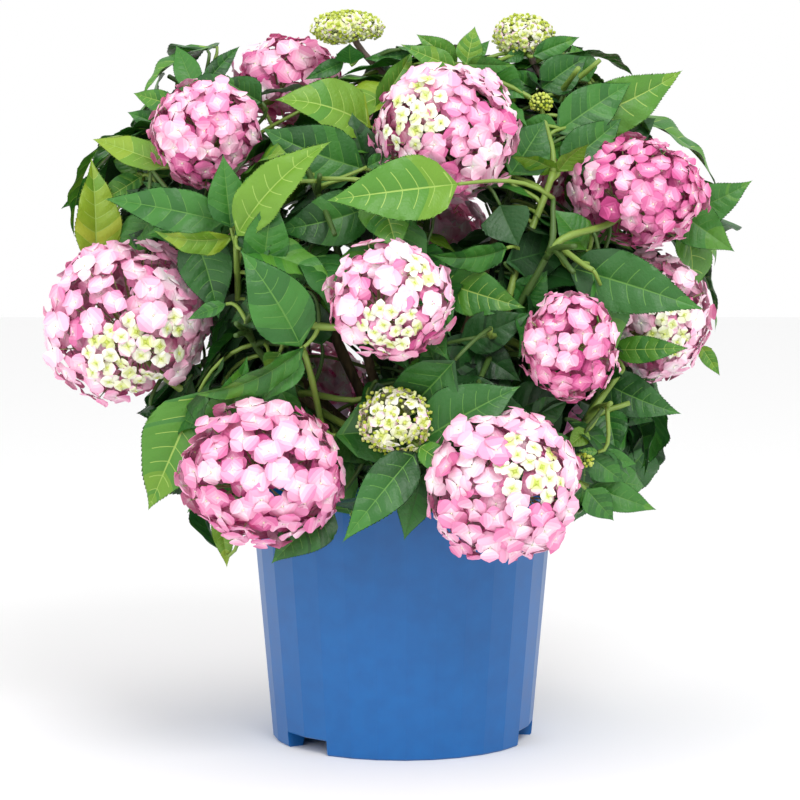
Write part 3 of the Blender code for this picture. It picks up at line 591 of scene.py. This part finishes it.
for bx, by, bd, tx, ty, td, wide, roll, arch, fold, tone, shade_drift in HERO:
    base, tip = place(bx, by, bd), place(tx, ty, td)
    d = unit(tip - base)
    look = unit(CAMERA - (base + tip) / 2)
    n0 = unit(look - d * (look @ d))
    side = np.cross(d, n0)
    a = math.radians(roll)
    normal = n0 * math.cos(a) + side * math.sin(a)
    length = np.linalg.norm(tip - base)
    metre = np.linalg.norm(CAMERA - base) / FOCAL
    ratio = wide * metre / length / max(math.cos(a), .5) * 1.05
    pts, back = make_leaf(sheaf_for((base + tip) / 2), base, tip, normal, ratio, arch, fold, tone, rng.normal(0, .12), .8, 1, shade_drift)
    # Darker blades get the dark stalk green: painted shade carried on to the petiole.
    petiole(base, back, .0016, int(tone < 3))
    mark(pts.reshape(-1, 3))

head_samples = []
golden = math.pi * (3 - math.sqrt(5))
for c, r, *_ in HEADS.values():
    k = np.arange(600)
    zz = 1 - 2 * (k + .5) / 600
    rr = np.sqrt(1 - zz ** 2)
    head_samples.append(np.array(c) + np.stack([rr * np.cos(golden * k), rr * np.sin(golden * k), zz], 1) * np.array(r) * 1.03)
for p in head_samples:
    mark(p)

# The crown's own outline, from the frame's masses.
inside = grid < 8
mass_points, mass_normals = [], []
for n in names:
    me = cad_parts["foliage_" + n].data
    me.calc_loop_triangles()
    co = np.array([v.co[:] for v in me.vertices])
    tri = np.array([t.vertices[:] for t in me.loop_triangles])
    a, b, c = co[tri[:, 0]], co[tri[:, 1]], co[tri[:, 2]]
    cr = np.cross(b - a, c - a)
    area = np.linalg.norm(cr, axis=1) / 2
    cnt = 1500
    pick = rng.choice(len(tri), cnt, p=area / area.sum())
    u, w = rng.random((2, cnt))
    flip = u + w > 1
    u[flip], w[flip] = 1 - u[flip], 1 - w[flip]
    q = a[pick] + (b - a)[pick] * u[:, None] + (c - a)[pick] * w[:, None]
    mass_points.append(q)
    mass_normals.append(cr[pick] / np.maximum(area[pick][:, None] * 2, 1e-12))
mp, mn = np.concatenate(mass_points), np.concatenate(mass_normals)
px, py, _ = see(mp)
inside[np.clip((py / CELL).astype(int), 0, 99), np.clip((px / CELL).astype(int), 0, 99)] = True
crown = np.array((0, 0, .40))


def allowed(sm, from_front):
    if (sm < np.array(cad_lo) - .006).any() or (sm > np.array(cad_hi) + .006).any():
        return False
    if inside_heads(sm, .93).any():
        return False
    rad = np.hypot(sm[:, 0], sm[:, 1])
    if ((rad < .145) & (sm[:, 2] < .243)).any() or (sm[:, 2] < .17).any():
        return False
    x, y, d = see(sm)
    i, j = np.clip((y / CELL).astype(int), 0, 99), np.clip((x / CELL).astype(int), 0, 99)
    if (~inside[i, j]).any():
        return False
    if (d < grid[i, j] + .004)[grid[i, j] < 8].any():
        return False
    return True


order = rng.permutation(len(mp))
taken = []
made = 0
for i in order:
    q, nrm = mp[i], mn[i]
    out = unit((q - crown) * (1, 1, .8))
    if nrm @ out < .15:
        continue
    if len(taken) and np.min(np.linalg.norm(np.array(taken) - q, axis=1)) < .040:
        continue
    if inside_heads(q[None], 1.0)[0]:
        continue
    done = False
    for attempt in range(5):
        flat = unit(out * (1, 1, 0) + 1e-6)
        face = unit(nrm * .6 + out * .4 + np.array((0, 0, .55)) + rng.normal(0, .22, 3))
        run = unit(flat * .55 + np.array((0, 0, -.45)) + rng.normal(0, .55, 3))
        run = unit(run - face * (run @ face))
        length = rng.uniform(.085, .125) * (1 - .08 * attempt)
        mid = q - out * rng.uniform(.0, .02) - out * .006 * attempt
        base, tip = mid - run * length * .5, mid + run * length * .5
        ratio = rng.uniform(.46, .56)
        if not allowed(samples_of(base, tip, face, ratio), True):
            continue
        # Leaves facing upwards get lighter greens, painted light on the crown's top, and each blade a random painted
        # shift from shade to light.
        tone = float(np.clip(rng.normal(3.4, .9) + 1.2 * out[2], 1, 6.6))
        _, back = make_leaf(sheaf_for(mid), base, tip, face, ratio, rng.uniform(.4, 1.0), rng.uniform(.15, .38), tone,
                            rng.normal(0, .15), 1.0, 1, rng.uniform(-.5, 1.4))
        # Darker blades get the dark stalk green: painted shade carried on to the petiole.
        petiole(base, back, .0015, int(tone < 3))
        taken.append(q)
        made += 1
        done = True
        break
    if made >= 330:
        break
# Leaves inside the crown take the darkest greens and dark stalks: painted shade.
inner = 0
for i in rng.permutation(len(mp)):
    if inner >= 150:
        break
    c = centres[i // 1500]
    q = c + (mp[i] - c) * rng.uniform(.25, .75)
    face = unit(unit(q - crown) + np.array((0, 0, .5)) + rng.normal(0, .35, 3))
    run = rng.normal(0, 1, 3)
    run = unit(run - face * (run @ face))
    length = rng.uniform(.08, .115)
    base, tip = q - run * length * .5, q + run * length * .5
    if not allowed(samples_of(base, tip, face, .5), False):
        continue
    _, back = make_leaf(sheaf_for(q), base, tip, face, .5, .5, .2, float(rng.uniform(.4, 2.0)), 0, .8, 0, .4)
    petiole(base, back, .0014, 1)
    inner += 1
print("leaves", len(HERO), made, inner)

for n in names:
    if not leaf_sheaves[n].v:
        continue
    ob = leaf_sheaves[n].build("leaves_" + n, MATS)
    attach(ob, "root")
    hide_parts("foliage_" + n)

# --------------------------------------------------------------------- florets
ROWS = np.array((.06, .27, .50, .74, .91))
HALF = np.array((.10, .38, .55, .53, .33))
ACROSS = np.array((-1, -.55, 0, .55, 1))


def sepal_faces():
    f, row = [], []
    for r in range(4):
        for q in range(4):
            a = r * 5 + q
            f.append((a, a + 1, a + 6, a + 5))
            row.append(r)
    for q in range(4):
        f.append((20 + q, 21 + q, 25, -1))
        row.append(4)
    return np.array(f), np.array(row)


SF, SR = sepal_faces()


def florets(sheaf, pos, nrm, size, tones, cream, bead):
    """Four cupped sepals and a bead for each floret."""
    count = len(pos)
    for i in range(count):
        n = unit(nrm[i])
        a = unit(np.cross(n, unit(rng.normal(0, 1, 3))))
        b = np.cross(n, a)
        spin = rng.uniform(0, 1.57)
        for k in range(4):
            ang = spin + k * math.pi / 2 + rng.normal(0, .09)
            out = a * math.cos(ang) + b * math.sin(ang)
            side = np.cross(n, out)
            ln = size[i] * .5 * rng.uniform(.88, 1.14)
            wd = ln * rng.uniform(.92, 1.16)
            rise, curl, cup = rng.uniform(.15, .62), rng.uniform(.25, .7), rng.uniform(-.1, .55)
            lift = (k % 2) * .0007
            u = ROWS[:, None]
            c = ACROSS[None, :]
            x = c * HALF[:, None] * wd
            y = u * ln - .06 * ln * np.abs(c) ** 2 * (u > .6)
            z = ln * (rise * u - curl * u ** 2) + cup * (x ** 2) / ln + lift + ln * .05 * np.sin(c * 3 + k)
            pts = (pos[i] + out * y[..., None] + side * x[..., None] + n * z[..., None]).reshape(-1, 3)
            tl = ln * rng.uniform(.98, 1.10)
            tipz = ln * (rise - curl) + lift
            tip = pos[i] + out * tl + n * tipz
            t = tones[i] + rng.normal(0, .35)
            step = np.array((-2.6, -1.2, -.3, .25, .7))
            if cream[i]:
                idx = CREAM + np.clip(np.round(tones[i] + np.array((1.6, .8, .1, -.3, -.5))), 0, 4).astype(int)
                if cream[i] == 2:
                    idx[3:] = PETAL + 2
            else:
                idx = PETAL + np.clip(np.round(t + step), 0, 8).astype(int)
            sheaf.add(np.concatenate([pts, tip[None]]), SF, idx[SR])
        m = 6
        th = np.arange(m) * 2 * math.pi / m
        br = bead[i]
        ring = pos[i] + n * .0004 + br * (np.cos(th)[:, None] * a + np.sin(th)[:, None] * b)
        ring2 = pos[i] + n * (br * .8 + .0006) + br * .6 * (np.cos(th)[:, None] * a + np.sin(th)[:, None] * b)
        top = (pos[i] + n * (br * 1.15 + .0006))[None]
        q = np.arange(m)
        f = np.concatenate([np.stack([q, (q + 1) % m, m + (q + 1) % m, m + q], 1),
                            np.stack([m + q, m + (q + 1) % m, np.full(m, 2 * m), np.full(m, -1)], 1)])
        sheaf.add(np.concatenate([ring, ring2, top]), f, CREAM + (3 if cream[i] else 1))


def beads(sheaf, pos, radius, mats):
    """Small round buds."""
    g = (1 + 5 ** .5) / 2
    iv = np.array([(-1, g, 0), (1, g, 0), (-1, -g, 0), (1, -g, 0), (0, -1, g), (0, 1, g), (0, -1, -g), (0, 1, -g),
                   (g, 0, -1), (g, 0, 1), (-g, 0, -1), (-g, 0, 1)], float) / math.hypot(1, g)
    fc = np.array([(0, 11, 5), (0, 5, 1), (0, 1, 7), (0, 7, 10), (0, 10, 11), (1, 5, 9), (5, 11, 4), (11, 10, 2),
                   (10, 7, 6), (7, 1, 8), (3, 9, 4), (3, 4, 2), (3, 2, 6), (3, 6, 8), (3, 8, 9), (4, 9, 5), (2, 4, 11),
                   (6, 2, 10), (8, 6, 7), (9, 8, 1)])
    for p, r, m in zip(pos, radius, mats):
        sheaf.add(p + iv * r * rng.uniform(.85, 1.15, 3), fc, m)


def spread(c, r, spacing, back, hole, weight=None):
    """Points on an ellipsoid no closer than spacing, none near its stalk."""
    cand = rng.normal(0, 1, (5200, 3))
    cand /= np.linalg.norm(cand, axis=1, keepdims=True)
    kept, gaps = [], []
    for d in cand:
        if d @ back > hole:
            continue
        p = d * r
        g = spacing * (weight(d) if weight else 1)
        if kept:
            dist = np.linalg.norm(np.array(kept) - p, axis=1)
            if (dist < np.minimum(g, np.array(gaps)) * .5 + np.maximum(g, np.array(gaps)) * .5).any():
                continue
        kept.append(p)
        gaps.append(g)
    return np.array(kept), np.array(gaps)


for n, (c, r, tone, size, patch) in HEADS.items():
    c, r = np.array(c), np.array(r)
    back = stem_dirs[n]
    sheaf = Sheaf()
    full = .027 * size
    if patch == "cap":
        small = (lambda d: 1.0)
    elif patch == "cream":
        small = (lambda d: 1.0)
    else:
        def small(d, patch=patch):
            for at, w in patch:
                if d @ unit(at) > 1 - w * w / 2:
                    return .58
            return 1.0
    pts, gaps = spread(c, r - min(.004, r.min() * .15), full * .66, back, .80, small)
    dirs = pts / r
    nrm = dirs / r
    nrm /= np.linalg.norm(nrm, axis=1, keepdims=True)
    ph = rng.uniform(0, 6, 3)
    lump = 1 + .035 * np.sin(dirs @ np.array((5.1, 2.3, 4.4)) + ph[0]) + .03 * np.sin(dirs @ np.array((-3.2, 6.1, 2.2)) + ph[1])
    pos = c + pts * (lump * rng.uniform(.955, 1.02, len(pts)))[:, None]
    nrm = nrm + rng.normal(0, .20, nrm.shape)
    cream = np.zeros(len(pts), int)
    sizes = gaps / .66 * rng.uniform(.88, 1.12, len(pts))
    # Florets on the underside of a head get deeper pinks: painted shade.
    tones = np.clip(tone + rng.normal(0, .75, len(pts)) + .8 * (dirs[:, 2] < -.35), 1.4, 8)
    if patch in ("cap", "cream"):
        cream[:] = 1
        tones = np.clip(rng.normal(1.0 if patch == "cap" else .7, .6, len(pts)), 0, 2.4)
        rim = np.abs(dirs[:, 2]) < (.45 if patch == "cap" else .2)
        cream[rim & (rng.random(len(pts)) < .5)] = 2
        if patch == "cream":
            edge = np.hypot(dirs[:, 0], dirs[:, 2]) > .72
            cream[edge & (rng.random(len(pts)) < .7)] = 2
    else:
        inpatch = gaps < full * .5
        cream[inpatch] = np.where(rng.random(inpatch.sum()) < .7, 1, 2)
        tones[inpatch] = np.clip(rng.normal(.5, .5, inpatch.sum()), 0, 2)
        deep = rng.random(len(pts)) < .07
        tones[deep & ~inpatch] += 2.0
    florets(sheaf, pos, nrm, sizes, tones, cream, np.where(cream > 0, .0013, .0011))
    if patch in ("cap", "cream"):
        bp, _ = spread(c, r * .96, full * .42, back, .75)
        beads(sheaf, c + bp * rng.uniform(.97, 1.05, (len(bp), 1)), np.full(len(bp), .0017), [CREAM + int(k) for k in rng.integers(2, 5, len(bp))])
    # a deeper layer, given deeper pinks as painted shade, and the pedicels close the head
    pts2, _ = spread(c, r * .80, full * .74, back, .85)
    if patch not in ("cap", "cream"):
        nr2 = pts2 / r ** 2
        nr2 /= np.linalg.norm(nr2, axis=1, keepdims=True)
        florets(sheaf, c + pts2, nr2 + rng.normal(0, .3, pts2.shape), np.full(len(pts2), full * .95),
                np.clip(tone + 1.8 + rng.normal(0, .6, len(pts2)), 2, 8), np.zeros(len(pts2), int), np.full(len(pts2), .001))
    hub = c + back * r * .3
    for p in pos[::2]:
        tube(sheaf, np.array([hub, (hub + p) / 2 + rng.normal(0, .002, 3), p]), (.0012, .0008, .0006), 3, STALK + 3, caps=False)
    ob = sheaf.build("flowers_" + n, MATS)
    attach(ob, "root")
    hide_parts("bloom_" + n)

buds = Sheaf()
for at, rad in ((place(541, 103, -.05), .0095), (place(585, 461, -.13), .0068)):
    bp, _ = spread(at, np.array((rad, rad, rad * .85)), .0031, np.array((0, 0, -1.0)), .7)
    beads(buds, at + bp, rng.uniform(.0013, .0021, len(bp)), [CREAM + int(k) for k in rng.integers(3, 5, len(bp))])
    for p in bp[::2]:
        tube(buds, np.array([at - (0, 0, rad * .7), at + p * .9]), (.0012, .0008), 3, STALK, caps=False)
ob = buds.build("flower_buds", MATS)
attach(ob, "root")

ob = green.build("green_shoots", MATS)
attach(ob, "root")
tube(wood, [(0, 0, z) for z in (.2222, .2260, .2310, .2370, .2440, .2510, .2562)],
     (.0305, .0285, .0262, .0240, .0228, .0180, .0080), 22, 0, lumpy=.06)
ob = wood.build("woody_canes", [bark_mat])
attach(ob, "root")
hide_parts("stem_base", *["cane_" + n for n in CANES])

# ------------------------------------------------------------------------ soil
soil = Sheaf()
rings, spokes = 34, 96
rr = np.linspace(0, .1325, rings + 1)[1:]
th = np.arange(spokes) * 2 * math.pi / spokes
gx, gy = rr[:, None] * np.cos(th), rr[:, None] * np.sin(th)
gz = .2212 + .0016 * np.sin(gx * 90 + 1) * np.cos(gy * 110) + rng.normal(0, .0007, gx.shape)
top = np.stack([gx, gy, gz], 2).reshape(-1, 3)
low = np.stack([.118 * np.cos(th), .118 * np.sin(th), np.full(spokes, .0175)], 1)
mid_top, mid_low = np.array([[0, 0, .2215]]), np.array([[0, 0, .0175]])
verts = np.concatenate([top, low, mid_top, mid_low])
f = []
k = np.arange(spokes)
for i in range(rings - 1):
    f.append(np.stack([i * spokes + k, (i + 1) * spokes + k, (i + 1) * spokes + (k + 1) % spokes, i * spokes + (k + 1) % spokes], 1))
lastr = (rings - 1) * spokes
lowr = rings * spokes
f.append(np.stack([lastr + k, lowr + k, lowr + (k + 1) % spokes, lastr + (k + 1) % spokes], 1))
f.append(np.stack([k, (k + 1) % spokes, np.full(spokes, lowr + spokes), np.full(spokes, -1)], 1))
f.append(np.stack([lowr + (k + 1) % spokes, lowr + k, np.full(spokes, lowr + spokes + 1), np.full(spokes, -1)], 1))
soil.add(verts, np.concatenate(f), 0)
g = rng.uniform(0, 1, 900)
a = rng.uniform(0, 6.283, 900)
cr = np.sqrt(g) * .129
cp = np.stack([cr * np.cos(a), cr * np.sin(a), .2222 + rng.uniform(0, .0012, 900)], 1)
beads(soil, cp, rng.uniform(.0008, .0032, 900), rng.choice([0, 1, 1, 0, 2], 900, p=[.35, .25, .2, .15, .05]))
ob = soil.build("soil_crumbs", soil_mats)
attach(ob, "root")
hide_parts("potting_soil")

# ------------------------------------------------------------------------- pot
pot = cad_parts["pot"]
for s in pot.material_slots:
    s.material = pot_mat
pot.data.shade_smooth()
pot.data.set_sharp_from_angle(angle=math.radians(35))

# ----------------------------------------------------------------------- stage
bpy.ops.mesh.primitive_plane_add(size=14, location=(0, 0, 0))
floor = bpy.context.object
floor.name = "studio_floor"
fm = bpy.data.materials.new("studio_floor")
fm.use_nodes = True
fm.node_tree.nodes["Principled BSDF"].inputs["Base Color"].default_value = (.93, .93, .93, 1)
fm.node_tree.nodes["Principled BSDF"].inputs["Roughness"].default_value = .9
floor.data.materials.append(fm)
world = bpy.data.worlds.new("studio")
scene.world = world
world.use_nodes = True
world.node_tree.nodes["Background"].inputs["Color"].default_value = (1, 1, 1, 1)
world.node_tree.nodes["Background"].inputs["Strength"].default_value = 1.0


def lamp(name, at, aim, size, power):
    data = bpy.data.lights.new(name, "AREA")
    data.size = size
    data.energy = power
    ob = bpy.data.objects.new(name, data)
    ob.location = at
    ob.rotation_euler = (Vector(aim) - Vector(at)).to_track_quat("-Z", "Y").to_euler()
    scene.collection.objects.link(ob)


lamp("key", (.7, -2.2, 2.3), (0, 0, .35), 1.1, 42)
lamp("fill", (-1.8, -1.6, 1.2), (0, 0, .35), 1.6, 10)
scene.view_settings.view_transform = "Standard"
cam_data = bpy.data.cameras.new("camera")
cam_data.lens, cam_data.sensor_width = LENS, SENSOR
cam = bpy.data.objects.new("camera", cam_data)
cam.location = CAMERA
cam.rotation_euler = (Vector(AIM) - Vector(CAMERA)).to_track_quat("-Z", "Y").to_euler()
scene.collection.objects.link(cam)
scene.camera = cam
